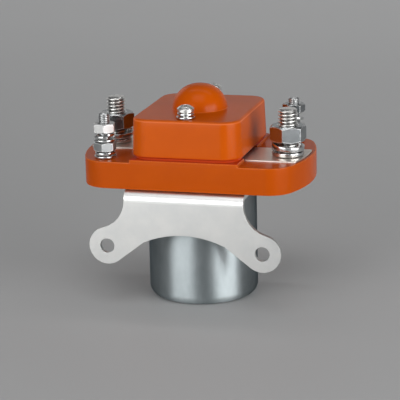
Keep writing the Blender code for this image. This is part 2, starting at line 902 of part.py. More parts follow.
def make_contacts(bridge_joint):
    for side, name in ((-1, "left"), (1, "right")):
        disc(f"fixed_tip_{name}", fixed_tip_radius, tip_thickness,
             (side * tip_x, 0, fixed_tip_bottom), "contact_silver")
        disc(f"moving_tip_{name}", moving_tip_radius, tip_thickness,
             (side * tip_x, 0, moving_tip_bottom), "contact_silver", bridge_joint)
    outline = rounded_rectangle(bridge_half_length, bridge_width / 2, bridge_corner, 4)
    bridge = prism("contact_bridge", outline, 0, bridge_thickness)
    hole = rod_radius + slide_gap + screw_hole_gap / 2
    cut(bridge, cylinder("rod_hole", hole, -bridge_thickness, 2 * bridge_thickness, segments=16))
    finish(bridge, "copper", (0, 0, bridge_bottom), parent=bridge_joint)


def make_push_rod(plunger_joint):
    low = plunger_top - rod_thread_depth + seat_gap
    collar_top = bridge_bottom - seat_gap
    collar_bottom = collar_top - rod_collar_thickness
    profile = [
        (0, low),
        (rod_radius, low),
        (rod_radius, collar_bottom),
        (rod_collar_radius, collar_bottom),
        (rod_collar_radius, collar_top),
        (rod_radius, collar_top),
        (rod_radius, rod_top - rod_edge),
        (rod_radius - rod_edge, rod_top),
        (0, rod_top),
    ]
    profile = [(r, z - low) for r, z in profile]
    finish(lathe("push_rod", profile, 16), "stainless", (0, 0, low), parent=plunger_joint)
    bore = rod_radius + seat_gap
    hub_top = retainer_thickness + retainer_hub_height
    retainer = [
        (bore, 0),
        (retainer_radius, 0),
        (retainer_radius, retainer_thickness),
        (retainer_hub_radius, retainer_thickness),
        (retainer_hub_radius, hub_top),
        (bore, hub_top),
    ]
    finish(lathe("spring_retainer", retainer, 16), "brass", (0, 0, retainer_bottom),
           parent=plunger_joint)


def coil_spring(name, radius, wire, turns, low, length, steps, sides, material):
    """Round wire wound round Z; the length is measured over the wire."""
    section = arc((0, 0), wire / 2, 0, 360 - 360 / sides, sides - 1)
    spring = helix(name, section, radius, turns, length - wire, steps)
    finish(spring, material, (0, 0, low + wire / 2), sharp=60)


def make_plunger(plunger_joint):
    length = plunger_top - plunger_bottom
    spring_bore = return_spring_radius + return_spring_wire
    rod_bore = rod_radius + seat_gap
    profile = [
        (0, plunger_bore_depth),
        (spring_bore, plunger_bore_depth),
        (spring_bore, 0),
        (plunger_radius - plunger_edge, 0),
        (plunger_radius, plunger_edge),
        (plunger_radius, length - plunger_edge),
        (plunger_radius - plunger_edge, length),
        (rod_bore, length),
        (rod_bore, length - rod_thread_depth),
        (0, length - rod_thread_depth),
    ]
    finish(lathe("plunger", profile, 24), "soft_iron", (0, 0, plunger_bottom), parent=plunger_joint)


def make_solenoid():
    spring_bore = return_spring_radius + return_spring_wire
    core = [
        (0, 0),
        (plunger_radius, 0),
        (plunger_radius, core_height),
        (spring_bore, core_height),
        (spring_bore, core_height - core_bore_depth),
        (0, core_height - core_bore_depth),
    ]
    finish(lathe("fixed_core", core, 24), "soft_iron", (0, 0, can_floor))
    shim = ring("plunger_shim", spring_bore, plunger_radius - seat_gap, 0, shim_thickness)
    finish(shim, "brass", (0, 0, shim_bottom))
    sleeve_inner = plunger_radius + slide_gap
    sleeve_outer = sleeve_inner + sleeve_wall
    sleeve = ring("guide_sleeve", sleeve_inner, sleeve_outer, 0, bobbin_top - can_floor, segments=24)
    finish(sleeve, "brass", (0, 0, can_floor))
    barrel_inner = sleeve_outer + seat_gap
    barrel_outer = barrel_inner + bobbin_wall
    flange = can_radius - can_wall - 2 * seat_gap
    height = bobbin_top - can_floor
    bobbin = lathe(
        "coil_bobbin",
        [
            (barrel_inner, 0),
            (flange - bobbin_foot, 0),
            (flange, bobbin_foot),
            (flange, bobbin_foot + bobbin_flange),
            (barrel_outer, bobbin_foot + bobbin_flange),
            (barrel_outer, height - bobbin_flange),
            (flange, height - bobbin_flange),
            (flange, height),
            (barrel_inner, height),
        ],
        24,
    )
    yoke = ring("yoke_plate", plunger_radius + yoke_hole_gap, can_radius - can_wall - seat_gap,
                yoke_bottom, can_height, segments=32)
    for side in (-1, 1):
        cut(bobbin, notch(side, height - 2 * bobbin_flange, 2 * height))
        cut(yoke, notch(side, yoke_bottom - yoke_thickness, 2 * can_height))
    finish(bobbin, "white_nylon", (0, 0, can_floor))
    finish(yoke, "soft_iron")
    winding_bottom = can_floor + bobbin_foot + bobbin_flange + seat_gap
    winding_top = bobbin_top - bobbin_flange - seat_gap
    winding = ring("coil_winding", barrel_outer + seat_gap, winding_radius, 0,
                   winding_top - winding_bottom, segments=24)
    finish(winding, "enamelled_wire", (0, 0, winding_bottom))


def notch(side, low, high):
    """An open slot at the rim where a lead passes."""
    half = lead_radius + screw_hole_gap
    slot = box("notch", (lead_circle - half, -half, low), (2 * can_radius, half, high))
    heading = lead_direction(side)
    slot.data.transform(Matrix.Rotation(atan2(heading.y, heading.x), 4, "Z"))
    return slot


def make_leads():
    """Each lead climbs beside the winding, passes the leg and turns out to its stud head."""
    run_z = base_bottom + screw_hole_gap + 2 * lead_radius
    stud_distance = hypot(coil_x, coil_y)
    end = stud_distance - coil_head_flats / sqrt(3) - seat_gap
    bend = lead_bend_radius
    for side, name in ((-1, "left"), (1, "right")):
        heading = lead_direction(side)
        turn = arc((lead_circle + bend, run_z - bend), bend, 180, 90, 6)
        route = [(lead_circle, lead_start_z), (lead_circle, leg_bottom), *turn, (end, run_z)]
        curve = bpy.data.curves.new(f"coil_lead_{name}", "CURVE")
        curve.dimensions = "3D"
        curve.bevel_depth = lead_radius
        curve.bevel_resolution = 2
        curve.use_fill_caps = True
        spline = curve.splines.new("POLY")
        spline.points.add(len(route) - 1)
        for point, (out, z) in zip(spline.points, route):
            point.co = (heading.x * out, heading.y * out, z, 1)
        lead = bpy.data.objects.new(f"coil_lead_{name}", curve)
        bpy.context.scene.collection.objects.link(lead)
        curve.materials.append(bpy.data.materials["black_insulation"])


def make_bush():
    low = base_bottom + bush_end_gap
    bore = rod_radius + slide_gap
    flange_bottom = channel_floor - bush_flange_thickness + seat_gap
    profile = [
        (bore, 0),
        (bush_radius, 0),
        (bush_radius, flange_bottom - low),
        (bush_flange_radius, flange_bottom - low),
        (bush_flange_radius, flange_bottom - low + bush_flange_thickness),
        (bore, flange_bottom - low + bush_flange_thickness),
    ]
    finish(lathe("rod_bush", profile, 16), "white_nylon", (0, 0, low))


def build():
    clear_scene()
    make_materials()
    make_can()
    make_bracket()
    make_base()
    make_cover()
    for side, name, nut_turn, spring_turn in ((1, "right", 25, 197), (-1, "left", 12, 3)):
        terminal_bar(side, name)
        main_terminal(side, name, nut_turn, spring_turn, first=side > 0)
    for side, name, lower, upper, spring in ((-1, "left", 33, 44, 300), (1, "right", 12, 16, 150)):
        coil_terminal(side, name, lower, upper, spring, coil_spring_rises[side > 0])
    for side, name, recess, spring in ((-1, "front", 20, 150), (1, "rear", 65, 30)):
        cover_screw(side, name, recess, spring)
    plunger_joint = joint_empty("plunger_joint", (0, 0, plunger_bottom))
    bridge_joint = joint_empty("bridge_joint", (0, 0, bridge_bottom), plunger_joint)
    bpy.context.view_layer.update()
    make_contacts(bridge_joint)
    make_push_rod(plunger_joint)
    make_plunger(plunger_joint)
    make_solenoid()
    make_leads()
    make_bush()
    coil_spring("contact_spring", contact_spring_radius, contact_spring_wire, contact_spring_turns,
                contact_spring_bottom, contact_spring_length, 14, 5, "spring_steel")
    core_seat = core_top - core_bore_depth
    return_length = plunger_bottom + plunger_bore_depth - core_seat - 2 * seat_gap
    coil_spring("return_spring", return_spring_radius, return_spring_wire, return_spring_turns,
                core_seat + seat_gap, return_length, 10, 4, "spring_steel")


build()
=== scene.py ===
import math
import bmesh
import bpy
import numpy as np
from mathutils import Matrix, Vector


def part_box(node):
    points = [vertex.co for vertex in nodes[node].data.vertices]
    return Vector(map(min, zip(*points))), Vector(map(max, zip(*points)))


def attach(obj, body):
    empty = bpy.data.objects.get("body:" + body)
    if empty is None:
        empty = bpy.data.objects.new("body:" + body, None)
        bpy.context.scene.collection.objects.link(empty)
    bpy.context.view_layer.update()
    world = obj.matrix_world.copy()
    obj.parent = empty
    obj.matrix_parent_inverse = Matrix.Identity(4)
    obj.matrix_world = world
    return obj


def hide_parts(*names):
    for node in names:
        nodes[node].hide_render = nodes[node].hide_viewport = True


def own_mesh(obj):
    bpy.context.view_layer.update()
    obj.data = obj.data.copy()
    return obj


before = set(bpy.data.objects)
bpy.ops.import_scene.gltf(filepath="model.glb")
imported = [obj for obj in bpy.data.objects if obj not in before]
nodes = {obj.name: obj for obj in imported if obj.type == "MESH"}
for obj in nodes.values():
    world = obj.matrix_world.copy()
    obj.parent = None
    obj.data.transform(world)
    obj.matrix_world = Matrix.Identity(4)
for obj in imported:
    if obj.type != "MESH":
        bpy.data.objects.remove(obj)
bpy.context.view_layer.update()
mm = 0.001
mergeDistance = 2e-6  # corners nearer to each other than this, in metres, become one
tiny = 1e-9  # keeps a division from meeting zero
print("frame loaded:", len(nodes), "nodes")

# Camera at the photograph's angle, sizes in millimetres and degrees

cameraSet = {
    "target": (-0.99, 0.0, 38.37),
    "distance": 751.4,
    "towardRight": 15.93,
    "elevation": 15.26,
    "roll": -1.43,
    "focalPixels": 1831.7,
    "framePixels": 400,
    "sensorWidth": 36.0,
    "clip": (50.0, 20000.0),
}


def makeCamera():
    turn, rise, roll = (
        math.radians(cameraSet[key]) for key in ("towardRight", "elevation", "roll")
    )
    back = Vector(
        (math.sin(turn) * math.cos(rise), -math.cos(turn) * math.cos(rise), math.sin(rise))
    )
    level = Vector((math.cos(turn), math.sin(turn), 0))
    above = back.cross(level)
    right = math.cos(roll) * level + math.sin(roll) * above
    up = math.cos(roll) * above - math.sin(roll) * level
    data = bpy.data.cameras.new("productCamera")
    data.sensor_fit = "HORIZONTAL"
    data.sensor_width = cameraSet["sensorWidth"]
    data.lens = cameraSet["focalPixels"] / cameraSet["framePixels"] * data.sensor_width
    data.clip_start, data.clip_end = (value * mm for value in cameraSet["clip"])
    camera = bpy.data.objects.new("productCamera", data)
    bpy.context.scene.collection.objects.link(camera)
    place = Vector(cameraSet["target"]) * mm + back * cameraSet["distance"] * mm
    axes = Matrix((right, up, back)).transposed().to_4x4()
    camera.matrix_world = Matrix.Translation(place) @ axes
    bpy.context.scene.camera = camera


makeCamera()
print("camera placed")

# Floor, backdrop and lights, sizes in metres and powers in watts

studioSet = {
    "floorColour": (0.45, 0.45, 0.45),
    "floorRoughness": 0.55,
    "floorSpecular": 0.3,
    "floorDepth": (-3.0, 2.2),
    "floorRows": 40,
    "halfWidth": 4.0,
    "wallTop": 4.0,
    "worldColour": (0.62, 0.65, 0.68),
    "worldStrength": 0.16,
    "lamps": (  # name, place, width and height, power
        ("leftSoftbox", (-0.318, -0.567, 0.17), (0.60, 0.32), 2.3),
        ("rightSoftbox", (0.585, -0.305, 0.15), (0.60, 0.30), 3.4),
        ("topSoftbox", (0.05, -0.55, 1.10), (0.90, 0.70), 3.0),
        ("rearSoftbox", (-1.10, 1.00, 0.60), (0.70, 0.70), 1.0),
        ("backdropLamp", (0.00, 0.35, 1.30), (1.60, 0.50), 13.0),
    ),
    "aim": (0.0, 0.0, 0.05),
    "wallStart": 0.55,
    "wallBend": 0.90,
    "wallAim": (0.0, 1.5, 0.8),
}


def makeStudio():
    # a straight floor that curves up into a wall: height over depth, carried along X; then
    # the world's light and the lamps
    look = studioSet
    depth = np.linspace(*look["floorDepth"], look["floorRows"])
    bendStart, bendRadius = look["wallStart"], look["wallBend"]
    angle = np.clip((depth - bendStart) / bendRadius, 0, 1) * math.pi / 2
    wallY = np.where(depth > bendStart, bendStart + bendRadius * np.sin(angle), depth)
    wallZ = np.where(depth > bendStart, bendRadius * (1 - np.cos(angle)), 0)
    wallY = np.append(wallY, wallY[-1])
    wallZ = np.append(wallZ, look["wallTop"])
    width = look["halfWidth"] * np.array([-1, 1])
    points = np.stack(np.broadcast_arrays(width[None, :], wallY[:, None], wallZ[:, None]), -1)
    faces = gridFaces(len(wallY), 2, False)
    mesh = bpy.data.meshes.new("studioFloor")
    mesh.from_pydata(points.reshape(-1, 3).tolist(), [], faces.tolist())
    mesh.shade_smooth()
    floor = bpy.data.objects.new("studioFloor", mesh)
    bpy.context.scene.collection.objects.link(floor)
    material = bpy.data.materials.new("studioFloor")
    material.use_nodes = True
    shader = material.node_tree.nodes["Principled BSDF"]
    shader.inputs["Base Color"].default_value = (*look["floorColour"], 1)
    shader.inputs["Roughness"].default_value = look["floorRoughness"]
    shader.inputs["Specular IOR Level"].default_value = look["floorSpecular"]
    mesh.materials.append(material)
    world = bpy.data.worlds.new("studio")
    world.use_nodes = True
    sky = world.node_tree.nodes["Background"]
    sky.inputs["Color"].default_value = (*look["worldColour"], 1)
    sky.inputs["Strength"].default_value = look["worldStrength"]
    bpy.context.scene.world = world
    for name, place, size, power in look["lamps"]:
        lamp = bpy.data.lights.new(name, "AREA")
        lamp.shape = "RECTANGLE"
        lamp.size, lamp.size_y = size
        lamp.energy = power
        light = bpy.data.objects.new(name, lamp)
        bpy.context.scene.collection.objects.link(light)
        light.visible_camera = False
        light.location = place
        aim = Vector(look["wallAim"] if name == "backdropLamp" else look["aim"])
        light.rotation_euler = (aim - Vector(place)).to_track_quat("-Z", "Y").to_euler()
    bpy.context.scene.view_settings.view_transform = "Standard"


# Surfaces


def gridFaces(rows, columns, around=True, closed=False):
    # quads between neighbouring rows of a grid of points; around joins the last column to the
    # first and closed joins the last row to the first
    row = np.arange(rows if closed else rows - 1)[:, None]
    column = np.arange(columns if around else columns - 1)[None, :]
    nextRow, nextColumn = (row + 1) % rows, (column + 1) % columns
    corners = [
        row * columns + column,
        row * columns + nextColumn,
        nextRow * columns + nextColumn,
        nextRow * columns + column,
    ]
    return np.stack([c + 0 * row * column for c in corners], -1).reshape(-1, 4)


def pieceFromGrids(name, grids, material, body, stands, sharp):
    # each grid is (points, groove values, around, closed); the grids become one mesh, its
    # doubles merged so that seams and poles close, its faces turned outwards; edges bent by
    # more than sharp degrees stay sharp
    points, faces, values, start = [], [], [], 0
    for grid, value, around, closed in grids:
        rows, columns = grid.shape[:2]
        points.append(grid.reshape(-1, 3))
        values.append(np.broadcast_to(value, (rows, columns)).reshape(-1))
        faces.append(gridFaces(rows, columns, around, closed) + start)
        start += rows * columns
    points, faces, values = map(np.concatenate, (points, faces, values))
    mesh = bpy.data.meshes.new(name)
    mesh.from_pydata((points * mm).tolist(), [], faces.tolist())
    mesh.attributes.new("groove", "FLOAT", "POINT").data.foreach_set(
        "value", values.astype(np.float32)
    )
    bm = bmesh.new()
    bm.from_mesh(mesh)
    bmesh.ops.remove_doubles(bm, verts=bm.verts, dist=mergeDistance)
    bmesh.ops.recalc_face_normals(bm, faces=bm.faces)
    bm.to_mesh(mesh)
    bm.free()
    mesh.shade_smooth()
    mesh.set_sharp_from_angle(angle=math.radians(sharp))
    mesh.materials.append(material)
    piece = bpy.data.objects.new(name, mesh)
    bpy.context.scene.collection.objects.link(piece)
    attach(piece, body)
    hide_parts(*stands)
    return piece


def aroundAxis(radius, height, angle, centre=(0, 0)):
    # points at this radius, height and angle round an upright axis at centre
    radius, height, angle = np.broadcast_arrays(radius, height, angle)
    return np.stack(
        [centre[0] + radius * np.cos(angle), centre[1] + radius * np.sin(angle), height], -1
    )


def ring(radius, height, like):
    # one row of a grid: a radius and a height for every column of like
    return radius + 0 * like, height + 0 * like


def gridFromRows(rows, angle, centre=(0, 0)):
    radius, height = (np.stack([row[part] for row in rows]) for part in (0, 1))
    return aroundAxis(radius, height, angle[None, :], centre)


def roundedProfile(corners, steps=3):
    # a closed profile whose corners (u, v, fillet) are rounded: each rounding runs from a
    # fillet's length before the corner to as far behind it, along a quadratic curve that the
    # corner pulls
    corners = np.array(corners, float)
    places, fillets = corners[:, :2], corners[:, 2]
    t = np.linspace(0, 1, steps + 1)[:, None]
    path = []
    for i, fillet in enumerate(fillets):
        before, here, after = places[i - 1], places[i], places[(i + 1) % len(places)]
        toBefore = (before - here) / np.linalg.norm(before - here)
        toAfter = (after - here) / np.linalg.norm(after - here)
        path.append(
            (1 - t) ** 2 * (here + fillet * toBefore)
            + 2 * t * (1 - t) * here
            + t**2 * (here + fillet * toAfter)
        )
    return np.concatenate(path)


def fullTurn(columns):
    return np.linspace(0, 2 * np.pi, columns, endpoint=False)


def turned(profile, columns, centre=(0, 0), bottom=0.0):
    # a (radius, height) profile carried once round an upright axis
    return aroundAxis(profile[:, :1], profile[:, 1:] + bottom, fullTurn(columns)[None, :], centre)


# Node groups shared by the materials


def newGroup(name, inputs, outputs):
    tree = bpy.data.node_groups.new(name, "ShaderNodeTree")
    for label, kind, value in inputs:
        socket = tree.interface.new_socket(label, in_out="INPUT", socket_type=kind)
        socket.default_value = value
    for label, kind in outputs:
        tree.interface.new_socket(label, in_out="OUTPUT", socket_type=kind)
    return tree, tree.nodes.new("NodeGroupInput"), tree.nodes.new("NodeGroupOutput")


def addNode(tree, kind, inputs=(), **settings):
    node = tree.nodes.new(kind)
    for key, value in settings.items():
        setattr(node, key, value)
    for key, value in dict(inputs).items():
        if isinstance(value, bpy.types.NodeSocket):
            tree.links.new(value, node.inputs[key])
        else:
            node.inputs[key].default_value = value
    return node


floatSocket, vectorSocket = "NodeSocketFloat", "NodeSocketVector"
evenStretch = (1, 1, 1)

# noiseRange is the part of the noise that is spread over the whole range; the edge mask starts
# where the cosine between the rounded and the true normal falls under the first of edgeCosines
# and is full at the second

maskSet = {
    "noiseRoughness": 0.6,
    "noiseRange": (0.3, 0.7),
    "edgeCosines": (0.995, 0.90),
    "edgeSamples": 4,
    "edgeNoiseScale": 900,
    "edgeNoiseLow": 0.35,
}


def makeGrainGroup():
    # noise on Object coordinates, stretched by a vector and brought between two values
    tree, given, out = newGroup(
        "surfaceGrain",
        (
            ("Scale", floatSocket, 1000.0),
            ("Stretch", vectorSocket, evenStretch),
            ("Detail", floatSocket, 3.0),
            ("Low", floatSocket, 0.0),
            ("High", floatSocket, 1.0),
        ),
        (("Value", floatSocket),),
    )
    place = addNode(tree, "ShaderNodeTexCoord")
    stretched = addNode(
        tree,
        "ShaderNodeVectorMath",
        {0: place.outputs["Object"], 1: given.outputs["Stretch"]},
        operation="MULTIPLY",
    )
    noise = addNode(
        tree,
        "ShaderNodeTexNoise",
        {
            "Vector": stretched.outputs[0],
            "Scale": given.outputs["Scale"],
            "Detail": given.outputs["Detail"],
            "Roughness": maskSet["noiseRoughness"],
        },
    )
    ranged = addNode(
        tree,
        "ShaderNodeMapRange",
        {
            "Value": noise.outputs["Fac"],
            "From Min": maskSet["noiseRange"][0],
            "From Max": maskSet["noiseRange"][1],
            "To Min": given.outputs["Low"],
            "To Max": given.outputs["High"],
        },
        clamp=False,
    )
    tree.links.new(ranged.outputs["Result"], out.inputs["Value"])
    return tree


grainGroup = makeGrainGroup()


def grainNode(tree, scale, low, high, stretch=evenStretch, detail=3.0):
    node = addNode(tree, "ShaderNodeGroup", node_tree=grainGroup)
    node.inputs["Scale"].default_value = scale
    node.inputs["Stretch"].default_value = stretch
    node.inputs["Detail"].default_value = detail
    node.inputs["Low"].default_value = low
    node.inputs["High"].default_value = high
    return node.outputs["Value"]


def makeEdgeGroup():
    # 1 where the rounded normal leaves the true one, so on edges, broken up by noise; finishes
    # lighten edges by it, as wear and as painted highlight
    tree, given, out = newGroup(
        "edgeWearAndHighlight",
        (("Radius", floatSocket, 0.0004), ("Amount", floatSocket, 1.0)),
        (("Mask", floatSocket),),
    )
    soft = addNode(
        tree,
        "ShaderNodeBevel",
        {"Radius": given.outputs["Radius"]},
        samples=maskSet["edgeSamples"],
    )
    flat = addNode(tree, "ShaderNodeNewGeometry")
    match = addNode(
        tree,
        "ShaderNodeVectorMath",
        {0: soft.outputs["Normal"], 1: flat.outputs["Normal"]},
        operation="DOT_PRODUCT",
    )
    start, full = maskSet["edgeCosines"]
    edge = addNode(
        tree,
        "ShaderNodeMapRange",
        {"Value": match.outputs["Value"], "From Min": start, "From Max": full},
    )
    grain = grainNode(tree, maskSet["edgeNoiseScale"], maskSet["edgeNoiseLow"], 1)
    broken = addNode(
        tree,
        "ShaderNodeMath",
        {0: edge.outputs["Result"], 1: grain},
        operation="MULTIPLY",
    )
    amount = addNode(
        tree,
        "ShaderNodeMath",
        {0: broken.outputs[0], 1: given.outputs["Amount"]},
        operation="MULTIPLY",
        use_clamp=True,
    )
    tree.links.new(amount.outputs[0], out.inputs["Mask"])
    return tree


def makeGrooveGroup():
    # the thread depth that a mesh carries, 0 on crests and flat faces, 1 at the root; finishes
    # darken by it as painted shade in thread roots and recesses
    tree, given, out = newGroup(
        "threadGroove", (("Amount", floatSocket, 1.0),), (("Mask", floatSocket),)
    )
    depth = addNode(tree, "ShaderNodeAttribute", attribute_name="groove")
    amount = addNode(
        tree,
        "ShaderNodeMath",
        {0: depth.outputs["Fac"], 1: given.outputs["Amount"]},
        operation="MULTIPLY",
        use_clamp=True,
    )
    tree.links.new(amount.outputs[0], out.inputs["Mask"])
    return tree


def makeBandGroup():
    # 1 between two heights in metres, fading to 0 over a soft distance outside them
    tree, given, out = newGroup(
        "heightBand",
        (("Low", floatSocket, 0.0), ("High", floatSocket, 1.0), ("Soft", floatSocket, 0.0002)),
        (("Mask", floatSocket),),
    )
    place = addNode(tree, "ShaderNodeTexCoord")
    parts = addNode(tree, "ShaderNodeSeparateXYZ", {0: place.outputs["Object"]})
    ramps = []
    for limit, operation in (("Low", "SUBTRACT"), ("High", "ADD")):
        outside = addNode(
            tree,
            "ShaderNodeMath",
            {0: given.outputs[limit], 1: given.outputs["Soft"]},
            operation=operation,
        )
        ramp = addNode(
            tree,
            "ShaderNodeMapRange",
            {
                "Value": parts.outputs["Z"],
                "From Min": outside.outputs[0],
                "From Max": given.outputs[limit],
            },
        )
        ramps.append(ramp.outputs["Result"])
    both = addNode(tree, "ShaderNodeMath", dict(enumerate(ramps)), operation="MULTIPLY")
    tree.links.new(both.outputs[0], out.inputs["Mask"])
    return tree


edgeGroup = makeEdgeGroup()
grooveGroup = makeGrooveGroup()
bandGroup = makeBandGroup()


def mixColour(tree, factor, first, second):
    # a colour mix node has its factor at 0, its two colours at 6 and 7 and its result at 2
    node = addNode(tree, "ShaderNodeMix", data_type="RGBA")
    for index, value in ((0, factor), (6, first), (7, second)):
        if isinstance(value, bpy.types.NodeSocket):
            tree.links.new(value, node.inputs[index])
        else:
            node.inputs[index].default_value = value if index == 0 else (*value, 1)
    return node.outputs[2]


def newMaterial(name, metallic):
    material = bpy.data.materials.new(name)
    material.use_nodes = True
    tree = material.node_tree
    shader = tree.nodes["Principled BSDF"]
    shader.inputs["Metallic"].default_value = metallic
    return material, tree, shader


# the direction of drawn out gloss as a share of a full turn, and the bump noise's detail

glossTurn = 0.25
bumpDetail = 2.0


def makeFinish(name, look):
    # cloudy colour, edges lightened as wear and as painted highlight, painted shade in grooves,
    # height bands of painted shade and painted highlight, uneven roughness and a fine bump
    material, tree, shader = newMaterial(name, look["metallic"])
    cloud = grainNode(tree, look["cloudScale"], 0, 1, look.get("cloudStretch", evenStretch))
    colour = mixColour(tree, cloud, look["colour"], look["cloudColour"])
    # edges mix toward edgeColour: partly wear, partly a painted highlight
    edge = addNode(tree, "ShaderNodeGroup", node_tree=edgeGroup)
    edge.inputs["Radius"].default_value = look["edgeRadius"] * mm
    edge.inputs["Amount"].default_value = look["edgeAmount"]
    colour = mixColour(tree, edge.outputs["Mask"], colour, look["edgeColour"])
    # thread roots and recesses are darkened by the groove values: painted shade
    if look.get("grooves"):
        groove = addNode(tree, "ShaderNodeGroup", node_tree=grooveGroup)
        groove.inputs["Amount"].default_value = look["grooves"]
        colour = mixColour(tree, groove.outputs["Mask"], colour, look["grooveShadeColour"])
    # each height band mixes in a colour of painted shade or painted highlight
    for low, high, soft, tone in look.get("paintedLightBands", ()):
        band = addNode(tree, "ShaderNodeGroup", node_tree=bandGroup)
        for socket, value in zip(("Low", "High", "Soft"), (low, high, soft)):
            band.inputs[socket].default_value = value * mm
        colour = mixColour(tree, band.outputs["Mask"], colour, tone)
    tree.links.new(colour, shader.inputs["Base Color"])
    shader.inputs["Specular IOR Level"].default_value = look.get("specularLevel", 0.5)
    shader.inputs["Specular Tint"].default_value = (*look.get("edgeTint", (1, 1, 1)), 1)
    shader.inputs["Anisotropic"].default_value = look.get("turnedLines", 0.0)
    shader.inputs["Anisotropic Rotation"].default_value = glossTurn
    rough = grainNode(
        tree, look["grainScale"], *look["roughness"], look.get("grainStretch", evenStretch)
    )
    if look.get("edgeRoughness"):
        dulled = addNode(
            tree,
            "ShaderNodeMapRange",
            {"Value": edge.outputs["Mask"], "To Min": rough, "To Max": look["edgeRoughness"]},
        )
        rough = dulled.outputs["Result"]
    tree.links.new(rough, shader.inputs["Roughness"])
    height = grainNode(
        tree, look["bumpScale"], 0, 1, look.get("bumpStretch", evenStretch), bumpDetail
    )
    bump = addNode(
        tree,
        "ShaderNodeBump",
        {"Height": height, "Strength": look["bumpStrength"], "Distance": look["bumpDepth"] * mm},
    )
    tree.links.new(bump.outputs["Normal"], shader.inputs["Normal"])
    return material


# lengths in millimetres; a band is (low, high, softness, colour) by height and paints shade or a
# highlight; turnedLines is how far the gloss is drawn out along the lines of turning

finishLooks = {
    "orangeMoulding": {
        "metallic": 0.0,
        "colour": (0.575, 0.090, 0.0005),
        "cloudColour": (0.53, 0.080, 0.0005),
        "cloudScale": 60,
        # lighter edges on the mouldings: a painted highlight on the rounded rims
        "edgeColour": (0.86, 0.26, 0.055),
        "edgeRadius": 0.5,
        "edgeAmount": 0.8,
        "paintedLightBands": (
            # a deeper red band at the cover's foot: painted shade in the seam gap between cover
            # and base
            (62.0, 62.35, 0.45, (0.53, 0.042, 0.005)),
            # a lighter band just under the top edge: a painted highlight along the cover's rim
            (76.5, 76.75, 0.2, (0.68, 0.145, 0.030)),
        ),
        "roughness": (0.24, 0.27),
        "specularLevel": 0.12,
        "grainScale": 220,
        "bumpScale": 900,
        "bumpStrength": 0.10,
        "bumpDepth": 0.05,
    },
    "whiteZinc": {
        "metallic": 1.0,
        "colour": (0.79, 0.79, 0.77),
        "cloudColour": (0.71, 0.72, 0.71),
        # a near-white band across the bend: a painted highlight on the bracket's fold
        "paintedLightBands": ((45.4, 47.4, 1.6, (1.0, 1.0, 0.99)),),
        "cloudScale": 90,
        "edgeColour": (0.92, 0.92, 0.91),
        "edgeRadius": 0.3,
        "edgeAmount": 0.6,
        "roughness": (0.37, 0.43),
        "grainScale": 500,
        "bumpScale": 1600,
        "bumpStrength": 0.12,
        "bumpDepth": 0.03,
    },
    "blueZinc": {
        "metallic": 1.0,
        "colour": (0.53, 0.585, 0.60),
        "cloudColour": (0.41, 0.46, 0.475),
        "cloudScale": 130,
        "cloudStretch": (1, 1, 0.5),
        "edgeColour": (0.75, 0.78, 0.80),
        "edgeRadius": 0.4,
        "edgeAmount": 0.4,
        "roughness": (0.41, 0.49),
        "turnedLines": 0.85,
        "edgeTint": (0.10, 0.12, 0.14),
        "grainScale": 420,
        "grainStretch": (1, 1, 0.08),
        "bumpScale": 1500,
        "bumpStretch": (1, 1, 0.05),
        "bumpStrength": 0.10,
        "bumpDepth": 0.03,
    },
    "brightZinc": {
        "metallic": 1.0,
        "colour": (0.365, 0.385, 0.395),
        "cloudColour": (0.31, 0.33, 0.34),
        "cloudScale": 260,
        # near-white edges on the nuts: a painted highlight on the rounded corners
        "edgeColour": (0.97, 0.97, 0.96),
        "edgeRadius": 0.7,
        "edgeAmount": 1.3,
        "edgeRoughness": 0.42,
        "grooves": 0.85,
        # dark colour in thread roots: painted shade
        "grooveShadeColour": (0.20, 0.20, 0.20),
        "roughness": (0.13, 0.21),
        "grainScale": 500,
        "bumpScale": 900,
        "bumpStrength": 0.05,
        "bumpDepth": 0.02,
    },
    "tinnedCopper": {
        "metallic": 1.0,
        "colour": (0.91, 0.84, 0.77),
        "cloudColour": (0.81, 0.74, 0.67),
        "cloudScale": 150,
        "edgeColour": (0.90, 0.80, 0.70),
        "edgeRadius": 0.25,
        "edgeAmount": 0.5,
        "roughness": (0.38, 0.42),
        "grainScale": 600,
        "bumpScale": 1500,
        "bumpStrength": 0.10,
        "bumpDepth": 0.03,
    },
}
finishLooks["orangeBase"] = finishLooks["orangeMoulding"] | {
    "colour": (0.50, 0.076, 0.0005),
    "cloudColour": (0.46, 0.067, 0.0005),
    # a deeper red band on the base's plateau under the cover: painted shade in the seam gap
    "paintedLightBands": ((61.05, 61.95, 0.15, (0.50, 0.044, 0.005)),),
}
finishLooks["studZinc"] = finishLooks["brightZinc"] | {
    "colour": (0.92, 0.91, 0.88),
    "cloudColour": (0.84, 0.83, 0.80),
    # dark colour in thread roots and the screw recess: painted shade
    "grooveShadeColour": (0.16, 0.16, 0.16),
    "roughness": (0.24, 0.32),
    "edgeAmount": 0.2,
}
finishLooks["fineStudZinc"] = finishLooks["studZinc"] | {
    "colour": (0.70, 0.71, 0.71),
    "cloudColour": (0.63, 0.64, 0.64),
    "grooves": 0.6,
}
finishLooks["washerZinc"] = finishLooks["brightZinc"] | {
    "colour": (0.68, 0.68, 0.67),
    "cloudColour": (0.60, 0.61, 0.61),
    "roughness": (0.16, 0.22),
    "edgeRadius": 0.3,
    "edgeAmount": 0.7,
}
finishLooks["satinZinc"] = finishLooks["brightZinc"] | {
    "colour": (0.66, 0.66, 0.65),
    "cloudColour": (0.59, 0.59, 0.58),
    "roughness": (0.42, 0.48),
}
finishLooks["paleZinc"] = finishLooks["brightZinc"] | {
    "colour": (0.47, 0.485, 0.49),
    "cloudColour": (0.41, 0.425, 0.43),
    "roughness": (0.32, 0.38),
}


